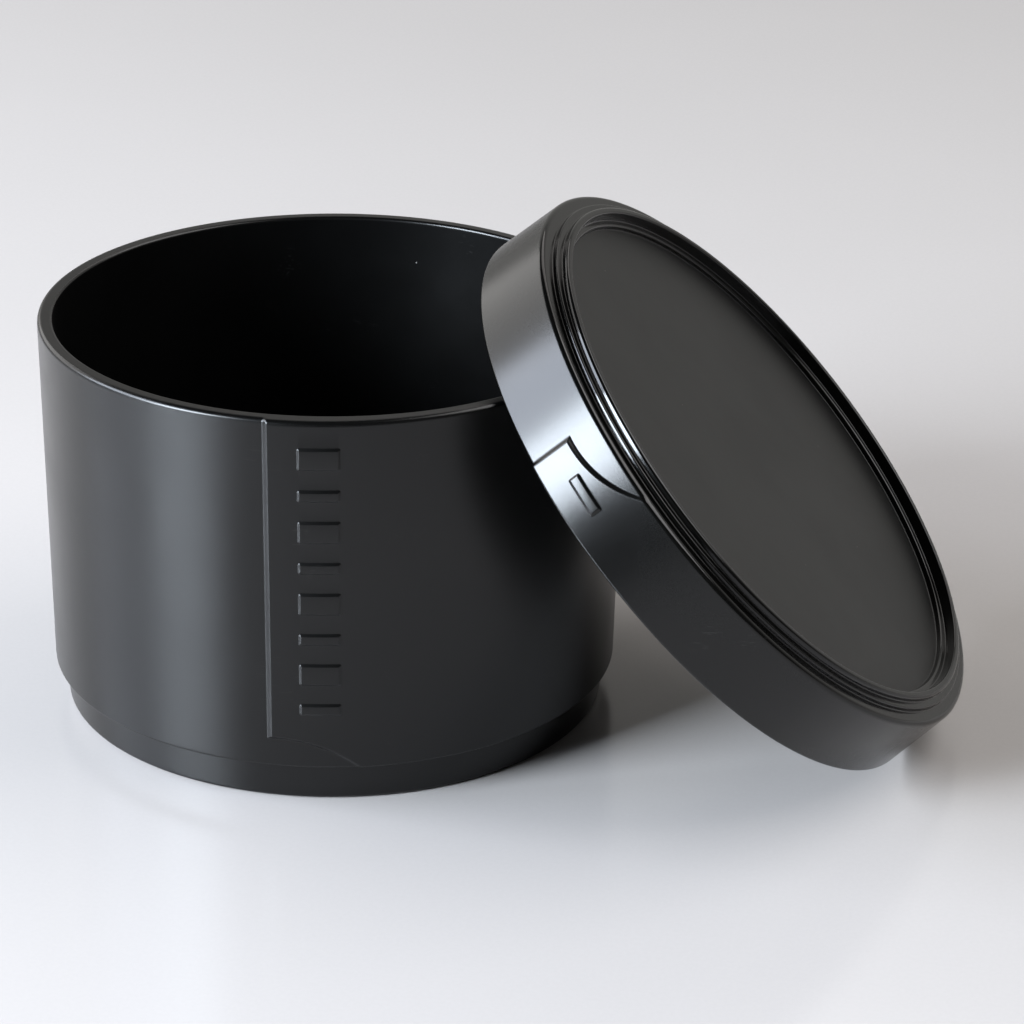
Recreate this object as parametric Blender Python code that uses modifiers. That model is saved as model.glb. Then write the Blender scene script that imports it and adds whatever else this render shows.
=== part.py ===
"""Lidded rice container: a round moulded tub and its cover lid, which leans on the tub's rim.

The tub stands on a foot ring. The lid's stepped crown carries a ring that takes the foot of another
tub. Both walls imitate bent wood: a lap edge runs up them, with a row of stitches beside it.
Lengths are in metres and +Z is up. The ground is z = 0, and the origin is under the middle of the whole.
"""
import bpy
import bmesh
from math import atan2, cos, floor, pi, radians, sin, sqrt, tan
from mathutils import Vector

MM = 0.001

# Tub wall and rim
RIM_RADIUS = 75.0 * MM          # outside of the wall at the rim
TUB_HEIGHT = 103.0 * MM         # ground to rim
TUB_WALL = 3.9 * MM
WALL_DRAFT = radians(1.08)      # the wall narrows downwards
RIM_ROUND = 0.6 * MM
WALL_EDGE_ROUND = 0.6 * MM      # lower edge of the wall, above the foot

# Tub base
FOOT_HEIGHT = 10.0 * MM         # ground to the lower edge of the wall
FOOT_SETBACK = 2.85 * MM        # the foot's step in from the wall
FOOT_WALL = 4.0 * MM
FOOT_DRAFT = radians(2.3)
FOOT_ROUND = 0.8 * MM
FOOT_FILLET = 0.6 * MM          # between foot and wall
BASE_HOLLOW = 8.6 * MM          # depth of the hollow inside the foot ring
BASE_THICKNESS = 4.0 * MM
FLOOR_FILLET = 8.0 * MM         # inside, between floor and wall
HOLLOW_FILLET = 1.5 * MM

# Lid skirt and plate
LID_CLEARANCE = 3.5 * MM        # between the rim and the inside of the skirt
SKIRT_WALL = 3.3 * MM
SKIRT_DRAFT = radians(2.8)      # the skirt narrows towards the crown
SKIRT_EDGE_ROUND = 0.6 * MM
LID_DEPTH = 14.4 * MM           # open edge to the underside
LID_THICKNESS = 4.2 * MM
LID_FILLET = 2.0 * MM           # inside, between skirt and underside

# Lid crown, heights above the sunken plate
BEAD_HEIGHT = 0.9 * MM          # rounded bead along the shoulder
BEAD_WIDTH = 1.8 * MM
BEAD_ROUND = 1.1 * MM
GROOVE_DEPTH = 0.2 * MM         # groove floor below the plate
STEP_HEIGHT = 1.25 * MM         # flat step around the stacking ring
STEP_WIDTH = 1.5 * MM
RING_HEIGHT = 4.3 * MM          # stacking ring
RING_WIDTH = 2.5 * MM           # at its foot
RING_DRAFT = radians(7.0)
LEDGE_HEIGHT = 0.9 * MM         # low ledge inside the stacking ring
LEDGE_WIDTH = 0.8 * MM
STACK_CLEARANCE = 1.35 * MM     # between a tub's foot and the ledge
CROWN_ROUND = 0.45 * MM

# Lap edge and stitches, both pieces
LAP_STEP = 0.9 * MM             # height of the edge
LAP_RAMP = 1.7 * MM             # its width
LAP_SPAN = radians(32.0)        # the lapped layer dies into the wall over this angle
LAP_SWEEP = 33.0 * MM           # radius of the curve that ends the edge
LAP_RISE = 7.4 * MM             # tub: start of the curve above the wall's lower edge
LAP_FALL = 7.5 * MM             # lid: start of the curve below the shoulder
LAP_STRAIGHT = 2.0 * MM         # level piece before the curve
LAP_SINK = 1.6 * MM             # the layer's depth into the wall
LAP_SEAT = 0.1 * MM             # foot of every ramp below its surface, ends of the layer below the rim
STITCH_OFFSET = 8.4 * MM        # lap edge to stitch
STITCH_WIDTH = 10.7 * MM
STITCH_TALL = 6.2 * MM
STITCH_SHORT = 3.5 * MM
STITCH_GAP = 4.7 * MM
STITCH_TOP = 6.6 * MM           # rim to the first stitch
STITCH_PAIRS = 4                # each a tall and a short stitch
STITCH_LIFT = 0.45 * MM
STITCH_RAMP = 0.6 * MM
STITCH_SINK = 0.8 * MM
LID_STITCH_OFFSET = 9.1 * MM
LID_STITCH_BOTTOM = 6.3 * MM    # open edge to the lid's own stitch

# Places
TUB_LAP_AZIMUTH = radians(-90.0)
LID_LAP_AZIMUTH = radians(-125.1)   # about the lid's axis, from its lowest point
LEAN_ANGLE = radians(47.1)          # lid axis from upright
CONTACT_GAP = 0.3 * MM

# Mesh
SEGMENTS = 72
ARC_STEP = radians(30.0)
SWEEP_STEPS = 10
ROUND_SHARE = 0.48              # the most of a side that one rounding takes
FLAT_ANGLE = radians(0.5)
WELD = 0.001 * MM

LACQUER_BLACK = (0.014, 0.013, 0.012, 1.0)
LACQUER_ROUGHNESS = 0.34

# Derived sizes
FLOOR_LEVEL = BASE_HOLLOW + BASE_THICKNESS
LID_INNER_RADIUS = RIM_RADIUS + LID_CLEARANCE
LID_RADIUS = LID_INNER_RADIUS + SKIRT_WALL
PLATE_LEVEL = LID_DEPTH + LID_THICKNESS
SHOULDER_LEVEL = PLATE_LEVEL + BEAD_HEIGHT


def tub_wall_radius(z):
    return RIM_RADIUS - (TUB_HEIGHT - z) * tan(WALL_DRAFT)


def skirt_radius(z):
    return LID_RADIUS - z * tan(SKIRT_DRAFT)


FOOT_TOP_RADIUS = tub_wall_radius(FOOT_HEIGHT) - FOOT_SETBACK
NEST_RADIUS = FOOT_TOP_RADIUS + STACK_CLEARANCE


def rounded(corners):
    """Points of a line through corners (x, y, radius), each corner rounded as far as its sides allow."""
    points = []
    for index, (x, y, radius) in enumerate(corners):
        corner = Vector((x, y))
        if radius == 0.0:
            points.append(corner)
            continue
        before = Vector(corners[index - 1][:2]) - corner
        after = Vector(corners[index + 1][:2]) - corner
        turn = pi - before.angle(after)
        reach = min(radius * tan(turn / 2), ROUND_SHARE * before.length, ROUND_SHARE * after.length)
        fitted = reach / tan(turn / 2)
        middle = (before.normalized() + after.normalized()).normalized()
        centre = corner + middle * (fitted / cos(turn / 2))
        start = corner + before.normalized() * reach - centre
        end = corner + after.normalized() * reach - centre
        steps = max(2, round(turn / ARC_STEP))
        for step in range(steps + 1):
            share = step / steps
            ray = start * sin(turn * (1 - share)) + end * sin(turn * share)
            points.append(centre + ray / sin(turn))
    return points


def turned(name, corners, collection):
    """A solid of revolution about its own Z axis."""
    points = rounded(corners)
    mesh = bpy.data.meshes.new(name)
    edges = [(index, index + 1) for index in range(len(points) - 1)]
    mesh.from_pydata([(point.x, 0.0, point.y) for point in points], edges, [])
    solid = bpy.data.objects.new(name, mesh)
    collection.objects.link(solid)
    screw = solid.modifiers.new("Turn", "SCREW")
    screw.axis = "Z"
    screw.steps = SEGMENTS
    screw.render_steps = SEGMENTS
    screw.use_merge_vertices = True
    screw.merge_threshold = WELD
    return solid


def evaluated_mesh(thing):
    bpy.context.view_layer.update()
    depsgraph = bpy.context.evaluated_depsgraph_get()
    return bpy.data.meshes.new_from_object(thing.evaluated_get(depsgraph))


def weld(mesh):
    bm = bmesh.new()
    bm.from_mesh(mesh)
    bmesh.ops.remove_doubles(bm, verts=bm.verts, dist=WELD)
    bmesh.ops.dissolve_degenerate(bm, edges=bm.edges, dist=WELD)
    bm.to_mesh(mesh)
    bm.free()


def join(solid, pieces):
    """Unites closed pieces with a solid, which becomes a plain mesh."""
    for piece in pieces:
        union = solid.modifiers.new("Join", "BOOLEAN")
        union.operation = "UNION"
        union.solver = "EXACT"
        union.object = piece
    mesh = evaluated_mesh(solid)
    solid.modifiers.clear()
    solid.data = mesh
    for piece in pieces:
        bpy.data.objects.remove(piece)
    weld(mesh)


def flat_panel(name, outline, base, proud, sunk, ramp, collection):
    """A flat sheet: x runs round the wall, y up it and z out of it. Its rim slopes down as a ramp.

    It stands proud of the level called base, and goes down below it by the sunk depth.
    """
    squeeze = (proud + LAP_SEAT) / ramp
    curve = bpy.data.curves.new(name, "CURVE")
    curve.dimensions = "2D"
    curve.fill_mode = "BOTH"
    curve.extrude = (proud + sunk) / (2 * squeeze) - ramp
    curve.bevel_depth = ramp
    curve.bevel_resolution = 0
    curve.offset = -ramp
    spline = curve.splines.new("POLY")
    spline.points.add(len(outline) - 1)
    for point, (x, y) in zip(spline.points, outline):
        point.co = (x, y, 0.0, 1.0)
    spline.use_cyclic_u = True
    sheet = bpy.data.objects.new(name, curve)
    collection.objects.link(sheet)
    mesh = evaluated_mesh(sheet)
    bpy.data.objects.remove(sheet)
    bpy.data.curves.remove(curve)
    for vertex in mesh.vertices:
        vertex.co.z = vertex.co.z * squeeze + (proud - sunk) / 2 + base
    weld(mesh)
    panel = bpy.data.objects.new(name, mesh)
    collection.objects.link(panel)
    return panel


def trim(panel, level, side, rounding):
    """Cuts off the upper (side 1) or lower (side -1) end of a flat panel, and rounds the cut's outer edge."""
    bm = bmesh.new()
    bm.from_mesh(panel.data)
    bmesh.ops.dissolve_limit(bm, angle_limit=FLAT_ANGLE, verts=bm.verts, edges=bm.edges)
    geometry = bm.verts[:] + bm.edges[:] + bm.faces[:]
    cut = {"plane_co": (0, level, 0), "plane_no": (0, side, 0), "clear_outer": True}
    bmesh.ops.bisect_plane(bm, geom=geometry, dist=WELD, **cut)
    ends = [edge for edge in bm.edges if edge.is_boundary]
    bmesh.ops.holes_fill(bm, edges=ends)
    crest = [edge for edge in ends if all(vertex.co.z > LAP_STEP - WELD for vertex in edge.verts)]
    bmesh.ops.bevel(bm, geom=crest, offset=rounding, segments=2, profile=0.5, affect="EDGES")
    bm.to_mesh(panel.data)
    bm.free()


def lap_share(angle):
    """Height of the lapped layer at an angle past its edge, as a share of the step."""
    return (cos(angle) - cos(LAP_SPAN)) / (1 - cos(LAP_SPAN))


def tub_lap_lift(azimuth):
    angle = azimuth - TUB_LAP_AZIMUTH
    return LAP_STEP * lap_share(angle) if 0 <= angle <= LAP_SPAN else 0.0


def panel_lift(angle, out):
    """Height above the wall of a point that lies at height out on the flat panel."""
    if out <= 0:
        return out
    return min(out, LAP_STEP) * lap_share(angle) + max(out - LAP_STEP, 0.0)


def wrap(panel, wall_radius, reach, lap_azimuth):
    """Bends a flat panel round a wall, in the same facets as the turned wall."""
    bm = bmesh.new()
    bm.from_mesh(panel.data)
    facet = 2 * pi / SEGMENTS
    first = floor(lap_azimuth / facet) + 1
    last = floor((lap_azimuth + LAP_SPAN) / facet) + 2
    for column in range(first, last):
        cut = (column * facet - lap_azimuth) * reach
        geometry = bm.verts[:] + bm.edges[:] + bm.faces[:]
        bmesh.ops.bisect_plane(bm, geom=geometry, dist=WELD, plane_co=(cut, 0, 0), plane_no=(1, 0, 0))
    for vertex in bm.verts:
        around, up, out = vertex.co
        angle = around / reach
        radius = wall_radius(up) + panel_lift(angle, out)
        azimuth = lap_azimuth + angle
        vertex.co = (radius * cos(azimuth), radius * sin(azimuth), up)
    bmesh.ops.recalc_face_normals(bm, faces=bm.faces)
    bm.to_mesh(panel.data)
    bm.free()


def lap_outline(edge_end, curve_start, far_end, reach):
    """The lapped layer laid flat: up its edge, along its curve to the far end of the wall, and back.

    Both ends go past the wall by two ramps, to be trimmed level.
    """
    length = (LAP_SPAN + 2 * pi / SEGMENTS) * reach
    away = 1 if far_end > curve_start else -1
    past_edge = edge_end - away * 2 * LAP_RAMP
    past_far = far_end + away * 2 * LAP_RAMP
    drop = min(abs(past_far - curve_start), LAP_SWEEP)
    sweep = sqrt(LAP_SWEEP ** 2 - (LAP_SWEEP - drop) ** 2)
    outline = [(length, past_edge), (0.0, past_edge), (0.0, curve_start)]
    for step in range(SWEEP_STEPS + 1):
        along = sweep * step / SWEEP_STEPS
        level = curve_start + away * (LAP_SWEEP - sqrt(LAP_SWEEP ** 2 - along ** 2))
        outline.append((LAP_STRAIGHT + along, level))
    outline.append((length, past_far))
    return outline


def stitch_outline(left, bottom, height):
    right = left + STITCH_WIDTH
    return [(left, bottom), (right, bottom), (right, bottom + height), (left, bottom + height)]


def add_lap(solid, wall_radius, reach, lap_azimuth, outline, ends, stitches, collection):
    """Joins the lapped layer and its stitches to a turned solid. The ends are (level, side, rounding)."""
    layer = flat_panel("layer", outline, 0.0, LAP_STEP, LAP_SINK, LAP_RAMP, collection)
    for level, side, rounding in ends:
        trim(layer, level, side, rounding)
    stitch_panels = []
    for left, bottom, height in stitches:
        shape = stitch_outline(left, bottom, height)
        panel = flat_panel("stitch", shape, LAP_STEP, STITCH_LIFT, STITCH_SINK, STITCH_RAMP, collection)
        stitch_panels.append(panel)
    join(layer, stitch_panels)
    wrap(layer, wall_radius, reach, lap_azimuth)
    join(solid, [layer])
    solid.data.shade_smooth()
    solid.data.set_sharp_from_angle(angle=ARC_STEP)


def build_tub(collection):
    wall_inside = RIM_RADIUS - TUB_WALL
    floor_radius = wall_inside - (TUB_HEIGHT - FLOOR_LEVEL) * tan(WALL_DRAFT)
    foot_radius = FOOT_TOP_RADIUS - FOOT_HEIGHT * tan(FOOT_DRAFT)
    hollow_radius = foot_radius - FOOT_WALL
    tub = turned("tub", [
        (0.0, FLOOR_LEVEL, 0.0),
        (floor_radius, FLOOR_LEVEL, FLOOR_FILLET),
        (wall_inside, TUB_HEIGHT, RIM_ROUND),
        (RIM_RADIUS, TUB_HEIGHT, RIM_ROUND),
        (tub_wall_radius(FOOT_HEIGHT), FOOT_HEIGHT, WALL_EDGE_ROUND),
        (FOOT_TOP_RADIUS, FOOT_HEIGHT, FOOT_FILLET),
        (foot_radius, 0.0, FOOT_ROUND),
        (hollow_radius, 0.0, FOOT_ROUND),
        (hollow_radius - BASE_HOLLOW * tan(FOOT_DRAFT), BASE_HOLLOW, HOLLOW_FILLET),
        (0.0, BASE_HOLLOW, 0.0),
    ], collection)
    stitches = []
    level = TUB_HEIGHT - STITCH_TOP
    for height in [STITCH_TALL, STITCH_SHORT] * STITCH_PAIRS:
        stitches.append((STITCH_OFFSET, level - height, height))
        level -= height + STITCH_GAP
    lap_top = TUB_HEIGHT - LAP_SEAT
    lap_bottom = FOOT_HEIGHT + LAP_SEAT
    outline = lap_outline(lap_top, FOOT_HEIGHT + LAP_RISE, lap_bottom, RIM_RADIUS)
    ends = [(lap_top, 1, RIM_ROUND), (lap_bottom, -1, WALL_EDGE_ROUND)]
    add_lap(tub, tub_wall_radius, RIM_RADIUS, TUB_LAP_AZIMUTH, outline, ends, stitches, collection)
    return tub


def build_lid(collection):
    slope = tan(RING_DRAFT)
    step_level = PLATE_LEVEL + STEP_HEIGHT
    ring_level = PLATE_LEVEL + RING_HEIGHT
    ledge_level = PLATE_LEVEL + LEDGE_HEIGHT
    groove_level = PLATE_LEVEL - GROOVE_DEPTH
    ring_inside = NEST_RADIUS + LEDGE_WIDTH
    ring_outside = ring_inside + RING_WIDTH
    step_radius = ring_outside + STEP_WIDTH
    shoulder_radius = skirt_radius(SHOULDER_LEVEL)
    bead_inside = shoulder_radius - BEAD_WIDTH
    underside_radius = LID_INNER_RADIUS - LID_DEPTH * tan(SKIRT_DRAFT)
    lid = turned("lid", [
        (0.0, PLATE_LEVEL, 0.0),
        (NEST_RADIUS, PLATE_LEVEL, CROWN_ROUND / 2),
        (NEST_RADIUS + LEDGE_HEIGHT * slope, ledge_level, CROWN_ROUND),
        (ring_inside, ledge_level, CROWN_ROUND / 2),
        (ring_inside + (RING_HEIGHT - LEDGE_HEIGHT) * slope, ring_level, CROWN_ROUND),
        (ring_outside - (RING_HEIGHT - STEP_HEIGHT) * slope, ring_level, CROWN_ROUND),
        (ring_outside, step_level, CROWN_ROUND),
        (step_radius, step_level, CROWN_ROUND),
        (step_radius + (STEP_HEIGHT + GROOVE_DEPTH) * slope, groove_level, CROWN_ROUND),
        (bead_inside - (BEAD_HEIGHT + GROOVE_DEPTH) * slope, groove_level, CROWN_ROUND),
        (bead_inside, SHOULDER_LEVEL, CROWN_ROUND),
        (shoulder_radius, SHOULDER_LEVEL, BEAD_ROUND),
        (LID_RADIUS, 0.0, SKIRT_EDGE_ROUND),
        (LID_INNER_RADIUS, 0.0, SKIRT_EDGE_ROUND),
        (underside_radius, LID_DEPTH, LID_FILLET),
        (0.0, LID_DEPTH, 0.0),
    ], collection)
    lap_bottom = LAP_SEAT
    lap_top = SHOULDER_LEVEL - LAP_SEAT
    outline = lap_outline(lap_bottom, SHOULDER_LEVEL - LAP_FALL, lap_top, LID_RADIUS)
    ends = [(lap_bottom, -1, SKIRT_EDGE_ROUND), (lap_top, 1, BEAD_ROUND)]
    stitches = [(LID_STITCH_OFFSET, LID_STITCH_BOTTOM, STITCH_SHORT)]
    add_lap(lid, skirt_radius, LID_RADIUS, LID_LAP_AZIMUTH, outline, ends, stitches, collection)
    return lid


def lean_place():
    """Distance from the tub's axis, and height, of the middle of the leaning lid's open edge.

    The lid stands on the ground on the edge of its skirt. It comes in until its underside meets the
    rim, or until the inside of the skirt meets the wall, whichever is first.
    """
    run = cos(LEAN_ANGLE)
    rise = sin(LEAN_ANGLE)
    height = (LID_RADIUS - SKIRT_EDGE_ROUND) * rise - SKIRT_EDGE_ROUND * run + SKIRT_EDGE_ROUND
    rim_out = RIM_RADIUS - RIM_ROUND
    rim_up = TUB_HEIGHT - RIM_ROUND
    rim_support = rim_out * rise + rim_up * run + RIM_ROUND
    by_underside = (rim_support + CONTACT_GAP - LID_DEPTH - height * run) / rise
    crossing = (TUB_HEIGHT - height) / rise
    half_chord = sqrt(max(LID_INNER_RADIUS ** 2 - crossing ** 2, 0.0))
    passing = atan2(half_chord, by_underside - crossing * run)
    wall = RIM_RADIUS + max(tub_lap_lift(passing), tub_lap_lift(-passing)) + CONTACT_GAP
    by_skirt = sqrt(max(wall ** 2 - half_chord ** 2, 0.0)) + crossing * run
    return max(by_underside, by_skirt), height


def lacquer(name):
    material = bpy.data.materials.new(name)
    material.use_nodes = True
    shader = material.node_tree.nodes["Principled BSDF"]
    shader.inputs["Base Color"].default_value = LACQUER_BLACK
    shader.inputs["Roughness"].default_value = LACQUER_ROUGHNESS
    return material


for thing in list(bpy.data.objects):
    bpy.data.objects.remove(thing)

container = bpy.data.collections.new("rice container")
bpy.context.scene.collection.children.link(container)
tub = build_tub(container)
lid = build_lid(container)
tub.data.materials.clear()
tub.data.materials.append(lacquer("tub_lacquer"))
lid.data.materials.clear()
lid.data.materials.append(lacquer("lid_lacquer"))

# The whole reaches from the far side of the tub to the lid's shoulder, and its middle is the origin
lean_distance, lean_height = lean_place()
shoulder_reach = (skirt_radius(SHOULDER_LEVEL) - BEAD_ROUND) * cos(LEAN_ANGLE) + BEAD_ROUND
shoulder_reach += (SHOULDER_LEVEL - BEAD_ROUND) * sin(LEAN_ANGLE)
tub_x = -(lean_distance + shoulder_reach - RIM_RADIUS) / 2
tub.location = (tub_x, 0.0, 0.0)
lid.location = (tub_x + lean_distance, 0.0, lean_height)
lid.rotation_euler = (0.0, LEAN_ANGLE, 0.0)
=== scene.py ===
"""Round lidded container: a tub in black lacquer, with its cover lid leaning on the rim."""
from math import atan2, cos, hypot, pi, radians, sin, tan

import bmesh
import bpy
from mathutils import Matrix, Vector


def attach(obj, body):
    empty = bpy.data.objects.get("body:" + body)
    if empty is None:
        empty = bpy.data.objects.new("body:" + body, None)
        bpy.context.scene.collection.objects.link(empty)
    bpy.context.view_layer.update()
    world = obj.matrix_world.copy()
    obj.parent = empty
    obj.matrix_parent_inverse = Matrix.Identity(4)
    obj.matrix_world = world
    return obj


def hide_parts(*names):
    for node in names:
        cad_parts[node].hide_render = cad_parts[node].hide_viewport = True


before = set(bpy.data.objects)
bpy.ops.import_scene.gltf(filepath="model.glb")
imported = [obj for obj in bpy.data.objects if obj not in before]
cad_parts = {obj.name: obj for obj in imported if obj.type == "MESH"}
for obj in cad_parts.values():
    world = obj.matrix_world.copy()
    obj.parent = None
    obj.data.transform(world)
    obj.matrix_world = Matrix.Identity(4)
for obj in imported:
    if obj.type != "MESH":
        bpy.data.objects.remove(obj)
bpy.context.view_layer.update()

MM = 0.001

# Tub
RIM_RADIUS = 75.0 * MM
TUB_HEIGHT = 103.0 * MM
TUB_WALL = 3.9 * MM
WALL_DRAFT = tan(radians(1.08))
FOOT_HEIGHT = 10.0 * MM
FOOT_SETBACK = 2.85 * MM
FOOT_WALL = 4.0 * MM
FOOT_DRAFT = tan(radians(2.3))
BASE_HOLLOW = 8.6 * MM
FLOOR_LEVEL = 12.6 * MM

# Roundings of the tub
FLOOR_FILLET = 8.0 * MM
MOUTH_ROUND = 0.8 * MM
RIM_ROUND = 1.2 * MM
WALL_EDGE_ROUND = 0.6 * MM
FOOT_FILLET = 0.6 * MM
FOOT_ROUND = 0.8 * MM
HOLLOW_FILLET = 1.5 * MM

# Lid, levels above its open edge
LID_INNER_RADIUS = 78.5 * MM
LID_RADIUS = 81.8 * MM
SKIRT_DRAFT = tan(radians(2.8))
LID_DEPTH = 14.4 * MM
PLATE_LEVEL = 18.6 * MM
LEDGE_LEVEL = 20.1 * MM
RING_LEVEL = 23.1 * MM
STEP_LEVEL = 21.4 * MM
SHOULDER_LEVEL = 20.05 * MM
NEST_RADIUS = 70.9 * MM
LEDGE_WIDTH = 1.8 * MM
RING_WIDTH = 2.3 * MM
STEP_WIDTH = 1.9 * MM
CROWN_DRAFT = tan(radians(5.0))

# Roundings of the lid
CROWN_FILLET = 0.3 * MM
LEDGE_ROUND = 0.6 * MM
RING_INSIDE_ROUND = 0.5 * MM
RING_OUTSIDE_ROUND = 0.75 * MM
STEP_ROUND = 0.35 * MM
SHOULDER_ROUND = 1.25 * MM
SKIRT_EDGE_ROUND = 0.7 * MM
SKIRT_LIP_ROUND = 0.6 * MM
LID_FILLET = 2.0 * MM

# Lap edge and stitches
LAP_STEP = 0.9 * MM
LAP_RAMP = 1.7 * MM
LAP_EASE = 0.36                 # share of a bevel's width that is rounded, at each edge
LAP_SPAN = radians(33.0)        # the lapped layer dies into the wall over this angle
LAP_SWEEP = 33.0 * MM           # radius of the curve that ends the edge
SWEEP_START = 2.0 * MM          # level piece before the curve
SWEEP_RAMP = 1.2 * MM
TUB_LAP_TURN = 17.4 * MM        # levels at which the curves start
LID_LAP_TURN = 12.0 * MM
STITCH_WIDTH = 10.55 * MM
TALL_STITCH = 6.05 * MM
SHORT_STITCH = 3.35 * MM
STITCH_PAIRS = 4                # each a tall and a short stitch
STITCH_TOP = 6.65 * MM          # rim to the first stitch
STITCH_GAP = 4.85 * MM
STITCH_LIFT = 0.42 * MM
STITCH_RAMP = 0.75 * MM
STITCH_EASE = 0.15
STITCH_CORNER = 0.6 * MM
TUB_STITCH_LEFT = 8.5 * MM      # lap edge to stitches
LID_STITCH_LEFT = 9.2 * MM
LID_STITCH_BOTTOM = 6.35 * MM

# Places, in the frame's own axes
TUB_X = -44.77 * MM
LID_X = 50.905 * MM
LID_Z = 59.674 * MM
LEAN = radians(47.1)
TUB_LAP_AZIMUTH = radians(-90.0)
LID_LAP_AZIMUTH = radians(-125.1)

# Mesh
ARC_STEP = radians(15.0)
PLAIN_STEP = radians(1.5)
ROUND_SHARE = 0.46              # the most of a side that one rounding takes
HOLD = 0.25 * MM                # the most from a rounding to its holding point
HOLD_SHARE = 0.03               # and the most of the side
MARGIN = 0.1 * MM
LEVEL_MARGIN = 0.05 * MM
ON_WALL = 0.01 * MM
WELD = 0.002 * MM
MICRONS = 1e6                   # in a metre
LAP_LEAD = 0.9 * MM             # the close lines begin this far before the lap edge
LAP_FIELD = 25.0 * MM           # and end this far past it
LAP_SKIN = 1.6 * MM             # only points this near the outer wall are lifted
BEVEL_LINES = 7
LINE_SPACING = 0.15 * MM
WIDE_SPACING = 1.4 * MM
TURN_REACH = 2.0 * MM           # the close lines begin or end this far past the start of a curve
FOOT_CLEAR = 0.9 * MM           # lines keep clear of the roundings
SHOULDER_CLEAR = 1.3 * MM
SKIRT_CLEAR = 0.8 * MM
SKIRT_LINES_END = 5.0 * MM
POLISH_REACH = 1.0 * MM         # the polish runs this far down the shoulder

# Finishes
TUB_BLACK = (0.0014, 0.0014, 0.0014, 1.0)
LID_BLACK = (0.0015, 0.0015, 0.0014, 1.0)
DUST_GREY = (0.30, 0.29, 0.275, 1.0)
LACQUER_IOR = 1.45
DUST_SHOW = 0.55
CORNER_SHOW = 0.006
WORN_GLOSS = 0.06               # changes of roughness
CORNER_DULL = 0.06
POLISH_GLOSS = 0.13
HAZE_DULL = 0.15
PAPER_DARK = (0.534, 0.506, 0.492, 1.0)
PAPER_LIGHT = (0.552, 0.523, 0.509, 1.0)
FLECK_GREY = (0.2, 0.19, 0.18, 1.0)
FLECK_SHOW = 0.35
RELIEF_DEPTH = 0.02 * MM

# Studio
FLOOR_SIZE = 9.0
FLOOR_DROP = 0.2 * MM
FLAG_PLACE = (0.035, -0.47, 0.033)
FLAG_SIZE = (0.73, 0.06, 1.0)
LAMP_TARGET = Vector((0, 0, 0.06))
CEILING_LEVEL = 0.02
CAMERA_PLACE = (TUB_X + 0.2102, -0.8824, 0.4450)
CAMERA_WAY = Vector((-0.16667, 0.90044, -0.40176))
CAMERA_ROLL = radians(0.870)


def deselect_everything():
    bpy.ops.object.select_all(action="DESELECT")


def rounded_profile(corners):
    """Profile points (radius, height, crest) with rounded corners, and a holding point beside every rounding.

    The crest is 1 on top of an outer rounding, -1 at the bottom of an inner one, and 0 on the flats.
    """
    points = []
    for index, (r, z, radius) in enumerate(corners):
        corner = Vector((r, z))
        if radius == 0.0:
            points.append((r, z, 0.0))
            continue
        before = Vector(corners[index - 1][:2]) - corner
        after = Vector(corners[index + 1][:2]) - corner
        turn = pi - before.angle(after)
        reach = min(radius * tan(turn / 2), ROUND_SHARE * before.length, ROUND_SHARE * after.length)
        fitted = reach / tan(turn / 2)
        middle = (before.normalized() + after.normalized()).normalized()
        centre = corner + middle * (fitted / cos(turn / 2))
        start = corner + before.normalized() * reach - centre
        end = corner + after.normalized() * reach - centre
        crest = 1.0 if before.cross(after) > 0 else -1.0
        hold = min(HOLD, HOLD_SHARE * before.length)
        p = corner + before.normalized() * (reach + hold)
        points.append((p.x, p.y, 0.0))
        steps = max(3, round(turn / ARC_STEP))
        for step in range(steps + 1):
            share = step / steps
            ray = (start * sin(turn * (1 - share)) + end * sin(turn * share)) / sin(turn)
            p = centre + ray
            points.append((p.x, p.y, crest * sin(pi * share)))
        hold = min(HOLD, HOLD_SHARE * after.length)
        p = corner + after.normalized() * (reach + hold)
        points.append((p.x, p.y, 0.0))
    return points


def with_levels(points, levels, wall_radius):
    """The profile with more points down its outer wall, at the given levels."""
    spots = []
    for index, (r, z, crest) in enumerate(points):
        if crest == 0.0 and abs(r - wall_radius(z)) < ON_WALL:
            spots.append(index)
    first, last = spots[0], spots[-1]
    high, low = points[first][1], points[last][1]
    inside = [z for z in levels if low + LEVEL_MARGIN < z < high - LEVEL_MARGIN]
    wall = [(wall_radius(z), z, 0.0) for z in sorted(inside, reverse=True)]
    return points[: first + 1] + wall + points[last:]


def draw_profile(name, points):
    """A line of edges in the XZ plane, drawn point by point from a plane merged to one vertex."""
    deselect_everything()
    bpy.ops.mesh.primitive_plane_add(size=MM, location=(0, 0, 0))
    piece = bpy.context.active_object
    piece.name = name
    piece.data.name = name
    bpy.ops.object.mode_set(mode="EDIT")
    bpy.ops.mesh.select_all(action="SELECT")
    bpy.ops.mesh.merge(type="CENTER")
    bpy.ops.transform.translate(value=(points[0][0], 0, points[0][1]))
    for before, after in zip(points, points[1:]):
        step = (after[0] - before[0], 0, after[1] - before[1])
        bpy.ops.mesh.extrude_region_move(TRANSFORM_OT_translate={"value": step})
    return piece


def spin_profile(sectors):
    """Spins the drawn profile round Z, sector by sector, then closes the seam and the poles."""
    bpy.ops.mesh.select_all(action="SELECT")
    for angle, steps in sectors:
        bpy.ops.mesh.spin(steps=steps, angle=angle, center=(0, 0, 0), axis=(0, 0, -1))
    bpy.ops.mesh.select_all(action="SELECT")
    bpy.ops.mesh.remove_doubles(threshold=WELD)
    bpy.ops.mesh.normals_make_consistent(inside=False)
    bpy.ops.object.mode_set(mode="OBJECT")


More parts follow.
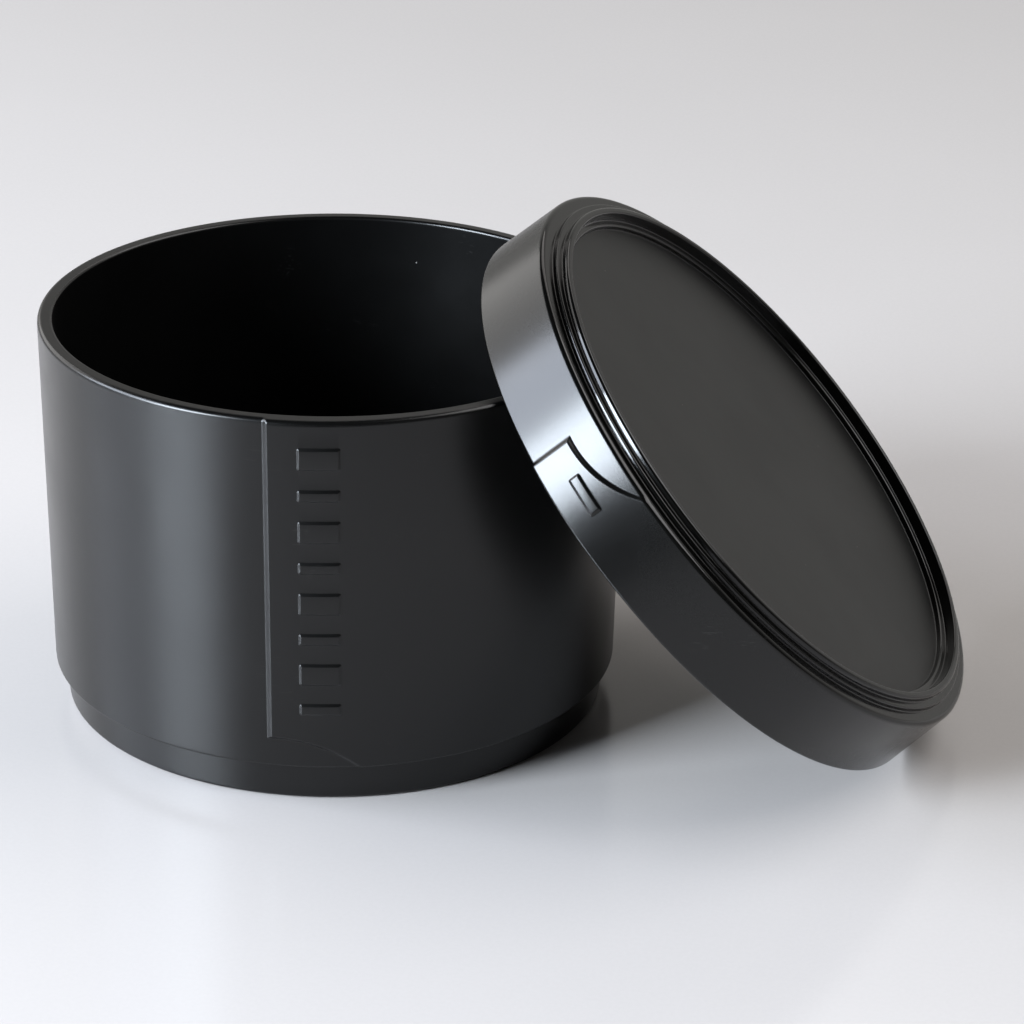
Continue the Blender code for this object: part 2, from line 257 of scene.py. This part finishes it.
def lap_sectors(radius, left):
    """Where the spin starts, and its angles and steps: close lines across the lap, wide ones elsewhere."""
    right = left + STITCH_WIDTH
    marks = [
        (-LAP_LEAD, 0),
        (-MARGIN, 2),
        (LAP_RAMP + MARGIN, 16),
        (left - MARGIN, 28),
        (left + STITCH_RAMP + MARGIN, 8),
        (right - STITCH_RAMP - MARGIN, 40),
        (right + MARGIN, 8),
        (LAP_FIELD, 18),
    ]
    sectors = []
    for (start, _), (end, steps) in zip(marks, marks[1:]):
        sectors.append(((end - start) / radius, steps))
    rest = 2 * pi - sum(angle for angle, _ in sectors)
    sectors.append((rest, round(rest / PLAIN_STEP)))
    return marks[0][0] / radius, sectors


def bevel(x, ease):
    """A flat bevel with eased edges: 0 at and outside an outline, 1 at and beyond one width inside it."""
    x = min(max(x, 0.0), 1.0)
    if x < ease:
        return x * x / (2 * ease * (1 - ease))
    if x > 1 - ease:
        return 1 - (1 - x) ** 2 / (2 * ease * (1 - ease))
    return (x - ease / 2) / (1 - ease)


def lap_height(along, up, turn, away):
    """Height of the lapped layer at a place laid flat: along the wall from its edge, and up it."""
    centre = turn + away * LAP_SWEEP
    from_curve = hypot(max(along - SWEEP_START, 0.0), up - centre) - LAP_SWEEP
    return LAP_STEP * bevel(min(along / LAP_RAMP, from_curve / SWEEP_RAMP), LAP_EASE)


def stitch_height(along, up, left, bottom, height):
    """Height of one stitch, a low rectangle with rounded corners."""
    x = abs(along - left - STITCH_WIDTH / 2) - STITCH_WIDTH / 2 + STITCH_CORNER
    y = abs(up - bottom - height / 2) - height / 2 + STITCH_CORNER
    outside = hypot(max(x, 0), max(y, 0)) + min(max(x, y), 0)
    return STITCH_LIFT * bevel((STITCH_CORNER - outside) / STITCH_RAMP, STITCH_EASE)


def raise_lap(piece, wall_radius, reach, turn, away, left, stitches, low, high):
    """Lifts the outer wall into the lapped layer and its stitches. The lap edge is at azimuth 0."""
    bpy.ops.object.mode_set(mode="EDIT")
    bm = bmesh.from_edit_mesh(piece.data)
    for vertex in bm.verts:
        x, y, z = vertex.co
        radius = hypot(x, y)
        if not low <= z <= high or radius < wall_radius(z) - LAP_SKIN:
            continue
        angle = atan2(y, x)
        if not 0 <= angle < LAP_SPAN:
            continue
        along = angle * reach
        fade = (1 - (angle / LAP_SPAN) ** 2) ** 2
        lift = lap_height(along, z, turn, away) * fade
        lift += sum(stitch_height(along, z, left, bottom, height) for bottom, height in stitches)
        vertex.co.x += lift * x / radius
        vertex.co.y += lift * y / radius
    bmesh.update_edit_mesh(piece.data)
    bpy.ops.object.mode_set(mode="OBJECT")


def stitch_levels(stitches):
    """Levels across the lower and upper bevels of the stitches."""
    lines = []
    for bottom, height in stitches:
        for step in range(BEVEL_LINES + 1):
            inward = (STITCH_RAMP + MARGIN) * step / BEVEL_LINES - LEVEL_MARGIN
            lines += [bottom + inward, bottom + height - inward]
    return lines


def even_levels(low, high, spacing):
    count = round((high - low) / spacing)
    return [low + (high - low) * step / count for step in range(count + 1)]


def mark_crests(piece, points):
    """Stores how far each point of the turned shape lies on an outer or inner rounding."""
    crests = {(round(r * MICRONS), round(z * MICRONS)): crest for r, z, crest in points}
    attribute = piece.data.attributes.new("crest", "FLOAT", "POINT")
    values = []
    for vertex in piece.data.vertices:
        across = round(hypot(vertex.co.x, vertex.co.y) * MICRONS)
        up = round(vertex.co.z * MICRONS)
        nearby = [(across + i, up + j) for i in (0, -1, 1) for j in (0, -1, 1)]
        near = [crests[key] for key in nearby if key in crests]
        values.append(near[0] if near else 0.0)
    attribute.data.foreach_set("value", values)


def mark_polish(piece):
    """Stores where the lid is more polished, on its stepped crown, and where duller, on its flat plate."""
    attribute = piece.data.attributes.new("polish", "FLOAT", "POINT")
    values = []
    for vertex in piece.data.vertices:
        up = vertex.co.z
        if hypot(vertex.co.x, vertex.co.y) > NEST_RADIUS - MARGIN:
            values.append(1.0 if up > SHOULDER_LEVEL - POLISH_REACH else 0.0)
        else:
            values.append(-1.0 if abs(up - PLATE_LEVEL) < MARGIN else 0.0)
    attribute.data.foreach_set("value", values)


def put_in_place(piece, matrix):
    """Moves the mesh to its place, with the object left at the origin."""
    deselect_everything()
    piece.select_set(True)
    bpy.context.view_layer.objects.active = piece
    piece.matrix_world = matrix
    bpy.ops.object.transform_apply(location=True, rotation=True, scale=True)
    bpy.ops.object.shade_smooth()


def tub_wall(z):
    return RIM_RADIUS - (TUB_HEIGHT - z) * WALL_DRAFT


def skirt_wall(z):
    return LID_RADIUS - z * SKIRT_DRAFT


def model_tub():
    inside = RIM_RADIUS - TUB_WALL
    floor_radius = inside - (TUB_HEIGHT - FLOOR_LEVEL) * WALL_DRAFT
    foot_top = tub_wall(FOOT_HEIGHT) - FOOT_SETBACK
    foot = foot_top - FOOT_HEIGHT * FOOT_DRAFT
    hollow = foot - FOOT_WALL
    points = rounded_profile([
        (0.0, FLOOR_LEVEL, 0.0),
        (floor_radius, FLOOR_LEVEL, FLOOR_FILLET),
        (inside, TUB_HEIGHT, MOUTH_ROUND),
        (RIM_RADIUS, TUB_HEIGHT, RIM_ROUND),
        (tub_wall(FOOT_HEIGHT), FOOT_HEIGHT, WALL_EDGE_ROUND),
        (foot_top, FOOT_HEIGHT, FOOT_FILLET),
        (foot, 0.0, FOOT_ROUND),
        (hollow, 0.0, FOOT_ROUND),
        (hollow - BASE_HOLLOW * FOOT_DRAFT, BASE_HOLLOW, HOLLOW_FILLET),
        (0.0, BASE_HOLLOW, 0.0),
    ])
    stitches = []
    top = TUB_HEIGHT - STITCH_TOP
    for height in [TALL_STITCH, SHORT_STITCH] * STITCH_PAIRS:
        stitches.append((top - height, height))
        top -= height + STITCH_GAP
    levels = stitch_levels(stitches)
    levels += even_levels(FOOT_HEIGHT + FOOT_CLEAR, TUB_LAP_TURN + TURN_REACH, LINE_SPACING)
    points = with_levels(points, levels, tub_wall)
    tub = draw_profile("tub_shell", points)
    start, sectors = lap_sectors(RIM_RADIUS, TUB_STITCH_LEFT)
    spin_profile(sectors)
    mark_crests(tub, points)
    put_in_place(tub, Matrix.Rotation(start, 4, "Z"))
    low, high = FOOT_HEIGHT - MARGIN, TUB_HEIGHT + MARGIN
    raise_lap(tub, tub_wall, RIM_RADIUS, TUB_LAP_TURN, -1, TUB_STITCH_LEFT, stitches, low, high)
    turned = Matrix.Rotation(TUB_LAP_AZIMUTH, 4, "Z")
    put_in_place(tub, Matrix.Translation((TUB_X, 0, 0)) @ turned)
    return tub


def model_lid():
    ring_in = NEST_RADIUS + LEDGE_WIDTH
    ring_out = ring_in + RING_WIDTH
    step_out = ring_out + STEP_WIDTH
    points = rounded_profile([
        (0.0, PLATE_LEVEL, 0.0),
        (NEST_RADIUS, PLATE_LEVEL, CROWN_FILLET),
        (NEST_RADIUS + (LEDGE_LEVEL - PLATE_LEVEL) * CROWN_DRAFT, LEDGE_LEVEL, LEDGE_ROUND),
        (ring_in, LEDGE_LEVEL, CROWN_FILLET),
        (ring_in + (RING_LEVEL - LEDGE_LEVEL) * CROWN_DRAFT, RING_LEVEL, RING_INSIDE_ROUND),
        (ring_out - (RING_LEVEL - STEP_LEVEL) * CROWN_DRAFT, RING_LEVEL, RING_OUTSIDE_ROUND),
        (ring_out, STEP_LEVEL, CROWN_FILLET),
        (step_out, STEP_LEVEL, STEP_ROUND),
        (step_out + (STEP_LEVEL - SHOULDER_LEVEL) * CROWN_DRAFT, SHOULDER_LEVEL, CROWN_FILLET),
        (skirt_wall(SHOULDER_LEVEL), SHOULDER_LEVEL, SHOULDER_ROUND),
        (LID_RADIUS, 0.0, SKIRT_EDGE_ROUND),
        (LID_INNER_RADIUS, 0.0, SKIRT_LIP_ROUND),
        (LID_INNER_RADIUS - LID_DEPTH * SKIRT_DRAFT, LID_DEPTH, LID_FILLET),
        (0.0, LID_DEPTH, 0.0),
    ])
    stitches = [(LID_STITCH_BOTTOM, SHORT_STITCH)]
    levels = stitch_levels(stitches)
    levels += even_levels(LID_LAP_TURN - TURN_REACH, SHOULDER_LEVEL - SHOULDER_CLEAR, LINE_SPACING)
    levels += even_levels(SKIRT_CLEAR, SKIRT_LINES_END, WIDE_SPACING)
    points = with_levels(points, levels, skirt_wall)
    lid = draw_profile("lid_shell", points)
    start, sectors = lap_sectors(LID_RADIUS, LID_STITCH_LEFT)
    spin_profile(sectors)
    mark_crests(lid, points)
    mark_polish(lid)
    put_in_place(lid, Matrix.Rotation(start, 4, "Z"))
    low, high = -MARGIN, SHOULDER_LEVEL - 2 * MARGIN
    raise_lap(lid, skirt_wall, LID_RADIUS, LID_LAP_TURN, 1, LID_STITCH_LEFT, stitches, low, high)
    lean = Matrix.Translation((LID_X, 0, LID_Z)) @ Matrix.Rotation(LEAN, 4, "Y")
    put_in_place(lid, lean @ Matrix.Rotation(LID_LAP_AZIMUTH, 4, "Z"))
    return lid


def add_node(tree, kind, inputs=None, **settings):
    """A shader node with its settings made and its inputs filled with values or joined to sockets."""
    node = tree.nodes.new(kind)
    for name, value in settings.items():
        setattr(node, name, value)
    for name, value in (inputs or {}).items():
        if isinstance(value, bpy.types.NodeSocket):
            tree.links.new(value, node.inputs[name])
        else:
            node.inputs[name].default_value = value
    return node


def calculate(tree, operation, *terms, limit=False):
    """The result of one Math node on values or sockets."""
    settings = {"operation": operation, "use_clamp": limit}
    return add_node(tree, "ShaderNodeMath", dict(enumerate(terms)), **settings).outputs[0]


def grade(tree, value, low, high, new_low=0.0, new_high=1.0):
    """The value's stretch from low to high turned into a soft step from new_low to new_high."""
    levels = {"Value": value, "From Min": low, "From Max": high, "To Min": new_low, "To Max": new_high}
    return add_node(tree, "ShaderNodeMapRange", levels, interpolation_type="SMOOTHSTEP").outputs["Result"]


def blend_colours(tree, factor, first, second):
    """A mix of two colours. A Mix node's colours are its inputs 6 and 7 and its output 2."""
    shades = {"Factor": factor, 6: first, 7: second}
    return add_node(tree, "ShaderNodeMix", shades, data_type="RGBA").outputs[2]


def blotches(tree, spot, scale, detail=2.0):
    size = {"Vector": spot, "Scale": scale, "Detail": detail}
    return add_node(tree, "ShaderNodeTexNoise", size).outputs["Fac"]


def relief(tree, height, strength):
    """The surface's normals with a fine relief of the given height."""
    bump = {"Height": height, "Strength": strength, "Distance": RELIEF_DEPTH}
    return add_node(tree, "ShaderNodeBump", bump).outputs["Normal"]


def start_group(name, outputs):
    """An empty shader group with the given outputs, and the place on the piece's own surface."""
    group = bpy.data.node_groups.new(name, "ShaderNodeTree")
    for output in outputs:
        group.interface.new_socket(name=output, in_out="OUTPUT", socket_type="NodeSocketFloat")
    spot = add_node(group, "ShaderNodeTexCoord").outputs["Object"]
    return group, spot


def start_material(name):
    """A new material with its node tree and its shader."""
    material = bpy.data.materials.new(name)
    material.use_nodes = True
    return material, material.node_tree, material.node_tree.nodes["Principled BSDF"]


def moulded_skin():
    """Faint orange peel a millimetre across, fine satin grain, and cloudy changes of gloss."""
    group, spot = start_group("moulded_skin", ["Height", "Gloss loss"])
    peel = blotches(group, spot, scale=820.0, detail=1.0)
    grain = blotches(group, spot, scale=5200.0)
    height = calculate(group, "MULTIPLY_ADD", peel, 2.2, grain)
    clouds = blotches(group, spot, scale=34.0, detail=4.0)
    cloud = grade(group, clouds, low=0.30, high=0.72, new_low=-0.02, new_high=0.03)
    sheen = grade(group, grain, low=0.30, high=0.70, new_low=-0.012, new_high=0.012)
    loss = calculate(group, "ADD", cloud, sheen)
    add_node(group, "NodeGroupOutput", {"Height": height, "Gloss loss": loss})
    return group


def dust_specks():
    """Sparse specks of dust, some 0.2 to 0.4 mm across, in one cell out of many."""
    group, spot = start_group("dust_specks", ["Specks"])
    cells = add_node(group, "ShaderNodeTexVoronoi", {"Vector": spot, "Scale": 210.0})
    chance = add_node(group, "ShaderNodeSeparateColor", {"Color": cells.outputs["Color"]})
    chosen = calculate(group, "GREATER_THAN", chance.outputs["Red"], 0.93)
    size = calculate(group, "MULTIPLY_ADD", chance.outputs["Green"], 0.035, 0.018)
    speck = calculate(group, "LESS_THAN", cells.outputs["Distance"], size)
    add_node(group, "NodeGroupOutput", {"Specks": calculate(group, "MULTIPLY", chosen, speck)})
    return group


def wipe_marks():
    """Short, straight hairlines left by a cloth: the peaks of a drawn-out noise, kept in a few patches."""
    group, spot = start_group("wipe_marks", ["Marks"])
    way = {"Vector": spot, "Rotation": (0.4, 0.5, 0.9), "Scale": (70.0, 2600.0, 2600.0)}
    drawn = add_node(group, "ShaderNodeMapping", way).outputs["Vector"]
    line = grade(group, blotches(group, drawn, scale=1.0, detail=0.0), low=0.70, high=0.76)
    patch = grade(group, blotches(group, spot, scale=75.0, detail=1.0), low=0.60, high=0.70)
    add_node(group, "NodeGroupOutput", {"Marks": calculate(group, "MULTIPLY", line, patch)})
    return group


def lacquer(name, skin, specks, marks, roughness, tone, wiping):
    """Black satin lacquer: shinier on worn outer edges, duller with dust in the inner corners."""
    material, tree, shader = start_material(name)
    shader.inputs["IOR"].default_value = LACQUER_IOR
    surface = add_node(tree, "ShaderNodeGroup", node_tree=skin)
    dust = add_node(tree, "ShaderNodeGroup", node_tree=specks).outputs["Specks"]
    hairs = add_node(tree, "ShaderNodeGroup", node_tree=marks).outputs["Marks"]
    crest = add_node(tree, "ShaderNodeAttribute", attribute_name="crest").outputs["Fac"]
    polish = add_node(tree, "ShaderNodeAttribute", attribute_name="polish").outputs["Fac"]
    corner = grade(tree, crest, low=-0.2, high=-1.0)
    worn = grade(tree, crest, low=0.2, high=1.0)
    hazy = calculate(tree, "MAXIMUM", dust, calculate(tree, "MULTIPLY", hairs, wiping))
    on_faces = calculate(tree, "MULTIPLY", hazy, DUST_SHOW)
    in_corners = calculate(tree, "MULTIPLY", corner, CORNER_SHOW)
    settled = calculate(tree, "MAXIMUM", on_faces, in_corners)
    tree.links.new(blend_colours(tree, settled, tone, DUST_GREY), shader.inputs["Base Color"])
    rough = calculate(tree, "ADD", surface.outputs["Gloss loss"], roughness)
    for mask, change in ((worn, -WORN_GLOSS), (corner, CORNER_DULL), (polish, -POLISH_GLOSS)):
        rough = calculate(tree, "MULTIPLY_ADD", mask, change, rough)
    rough = calculate(tree, "MULTIPLY_ADD", hazy, HAZE_DULL, rough, limit=True)
    tree.links.new(rough, shader.inputs["Roughness"])
    tree.links.new(relief(tree, surface.outputs["Height"], strength=0.12), shader.inputs["Normal"])
    return material


def dress(piece, material, body, node):
    piece.data.materials.clear()
    piece.data.materials.append(material)
    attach(piece, body)
    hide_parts(node)


def pale_paper():
    """Smooth pale paper with a slight sheen, fine fibres and a few flecks."""
    paper, tree, shader = start_material("pale_paper")
    spot = add_node(tree, "ShaderNodeTexCoord").outputs["Object"]
    fibres = blotches(tree, spot, scale=900.0, detail=3.0)
    clouds = blotches(tree, spot, scale=6.0)
    cells = add_node(tree, "ShaderNodeTexVoronoi", {"Vector": spot, "Scale": 55.0})
    chance = add_node(tree, "ShaderNodeSeparateColor", {"Color": cells.outputs["Color"]})
    size = grade(tree, chance.outputs["Red"], low=0.94, high=1.0, new_high=0.03)
    fleck = calculate(tree, "LESS_THAN", cells.outputs["Distance"], size)
    halves = [grade(tree, pattern, low=0.3, high=0.7, new_high=0.5) for pattern in (fibres, clouds)]
    sheet = blend_colours(tree, calculate(tree, "ADD", *halves), PAPER_DARK, PAPER_LIGHT)
    flecked = blend_colours(tree, calculate(tree, "MULTIPLY", fleck, FLECK_SHOW), sheet, FLECK_GREY)
    tree.links.new(flecked, shader.inputs["Base Color"])
    sheen = grade(tree, fibres, low=0.3, high=0.7, new_low=0.16, new_high=0.2)
    tree.links.new(sheen, shader.inputs["Roughness"])
    tree.links.new(relief(tree, fibres, strength=0.05), shader.inputs["Normal"])
    return paper


def black_felt():
    """Dull black felt with a fine nap."""
    felt, tree, shader = start_material("black_felt")
    spot = add_node(tree, "ShaderNodeTexCoord").outputs["Object"]
    nap = blotches(tree, spot, scale=1500.0, detail=3.0)
    shade = grade(tree, nap, low=0.3, high=0.7, new_low=0.004, new_high=0.012)
    tree.links.new(shade, shader.inputs["Base Color"])
    shader.inputs["Roughness"].default_value = 1.0
    return felt


def paper_floor():
    deselect_everything()
    bpy.ops.mesh.primitive_plane_add(size=FLOOR_SIZE, location=(0, 0, -FLOOR_DROP))
    floor = bpy.context.active_object
    floor.name = "paper_floor"
    bpy.ops.object.transform_apply(location=True, rotation=True, scale=True)
    floor.data.materials.append(pale_paper())


def dark_flag():
    """A black card low in front, seen only in the gloss of the skirt and the wall."""
    deselect_everything()
    upright = (radians(90.0), 0, 0)
    bpy.ops.mesh.primitive_plane_add(size=1.0, location=FLAG_PLACE, rotation=upright)
    flag = bpy.context.active_object
    flag.name = "dark_flag"
    flag.scale = FLAG_SIZE
    bpy.ops.object.transform_apply(location=True, rotation=True, scale=True)
    flag.data.materials.append(black_felt())
    flag.visible_camera = False
    flag.visible_diffuse = False
    flag.visible_shadow = False


def soft_box(name, location, width, height, power, colour):
    light = bpy.data.lights.new(name, "AREA")
    light.shape = "RECTANGLE"
    light.size = width
    light.size_y = height
    light.energy = power
    light.color = colour
    lamp = bpy.data.objects.new(name, light)
    bpy.context.scene.collection.objects.link(lamp)
    lamp.location = location
    lamp.rotation_euler = (LAMP_TARGET - Vector(location)).to_track_quat("-Z", "Y").to_euler()
    lamp.visible_camera = False


def studio_room():
    """A dim room: a paler wall low behind the container, darker in front, dark overhead."""
    world = bpy.data.worlds.new("studio_room")
    bpy.context.scene.world = world
    world.use_nodes = True
    tree = world.node_tree
    way = add_node(tree, "ShaderNodeTexCoord").outputs["Generated"]
    part = add_node(tree, "ShaderNodeSeparateXYZ", {"Vector": way})
    wall = grade(tree, part.outputs["Y"], low=-0.2, high=0.5, new_low=0.09, new_high=0.42)
    overhead = grade(tree, part.outputs["Z"], low=0.35, high=0.7)
    shades = {"Factor": overhead, "A": wall, "B": CEILING_LEVEL}
    level = add_node(tree, "ShaderNodeMix", shades, data_type="FLOAT").outputs["Result"]
    back = tree.nodes["Background"]
    back.inputs["Color"].default_value = (1.0, 0.985, 0.945, 1.0)
    tree.links.new(level, back.inputs["Strength"])


def studio():
    paper_floor()
    dark_flag()
    soft_box("key_box", (-1.249, -1.124, 0.705), 0.78, 0.80, power=80.0, colour=(0.81, 0.90, 1.0))
    soft_box("left_box", (-1.312, -0.255, 0.741), 0.70, 0.70, power=18.8, colour=(0.80, 0.87, 1.0))
    soft_box("rear_left_box", (-1.076, 0.502, 0.589), 1.2, 0.7, power=4.5, colour=(1.0, 0.98, 0.96))
    soft_box("right_box", (0.869, 0.233, 1.132), 1.3, 0.9, power=12.5, colour=(1.0, 0.99, 0.985))
    soft_box("back_box", (0.35, 1.5, 1.5), 1.4, 0.8, power=4.5, colour=(1.0, 0.96, 0.93))
    studio_room()


def photo_camera():
    """A long lens at the photograph's viewing angle, rolled a little as the photograph is."""
    camera = bpy.data.cameras.new("photo_view")
    camera.sensor_width = 36.0
    camera.lens = 133.72
    camera.clip_start = 0.02
    viewer = bpy.data.objects.new("photo_view", camera)
    bpy.context.scene.collection.objects.link(viewer)
    forward = CAMERA_WAY.normalized()
    right = forward.cross(Vector((0, 0, 1))).normalized()
    up = right.cross(forward)
    across = right * cos(CAMERA_ROLL) + up * sin(CAMERA_ROLL)
    upright = up * cos(CAMERA_ROLL) - right * sin(CAMERA_ROLL)
    turn = Matrix((across, upright, -forward)).transposed().to_4x4()
    viewer.matrix_world = Matrix.Translation(CAMERA_PLACE) @ turn
    bpy.context.scene.camera = viewer


tub = model_tub()
lid = model_lid()
skin = moulded_skin()
specks = dust_specks()
marks = wipe_marks()
tub_lacquer = lacquer("tub_lacquer", skin, specks, marks, roughness=0.31, tone=TUB_BLACK, wiping=0.04)
lid_lacquer = lacquer("lid_lacquer", skin, specks, marks, roughness=0.26, tone=LID_BLACK, wiping=0.05)
dress(tub, tub_lacquer, "tub", "tub")
dress(lid, lid_lacquer, "lid", "lid")
studio()
photo_camera()
bpy.context.scene.view_settings.view_transform = "Standard"
